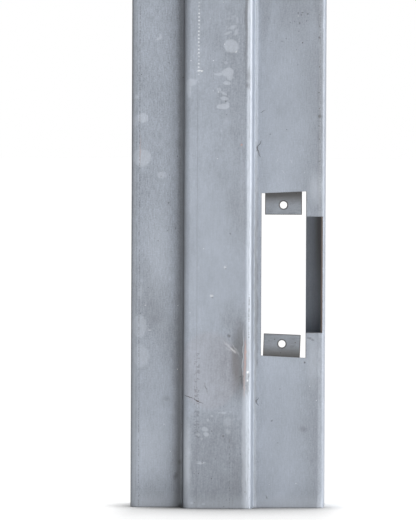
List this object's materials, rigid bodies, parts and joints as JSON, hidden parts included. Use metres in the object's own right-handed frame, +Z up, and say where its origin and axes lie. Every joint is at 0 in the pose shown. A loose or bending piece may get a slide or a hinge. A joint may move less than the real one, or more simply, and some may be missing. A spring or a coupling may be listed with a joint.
{
  "type": "door frame strike jamb section",
  "caption": "Cut length of pressed-steel door-frame jamb with stop, throat and returns, its strike cut-out, lip notch and tapped tabs welded behind.",
  "frame": {"origin": "foot of the section, in the middle of its width and of its thickness", "axes": "+X across the wall towards the strike's face, -Y into the door opening, +Z up the jamb"},
  "size_m": [0.146, 0.0666, 0.4572],
  "materials": {
    "jamb_sheet": "mill galvannealed, dull grey, with handling marks",
    "tab_steel": "plain steel, dull, darker at its sheared edges"
  },
  "bodies": {
    "root": {"jamb_profile": "jamb_sheet", "upper_strike_tab": "tab_steel", "lower_strike_tab": "tab_steel"}
  },
  "joints": []
}
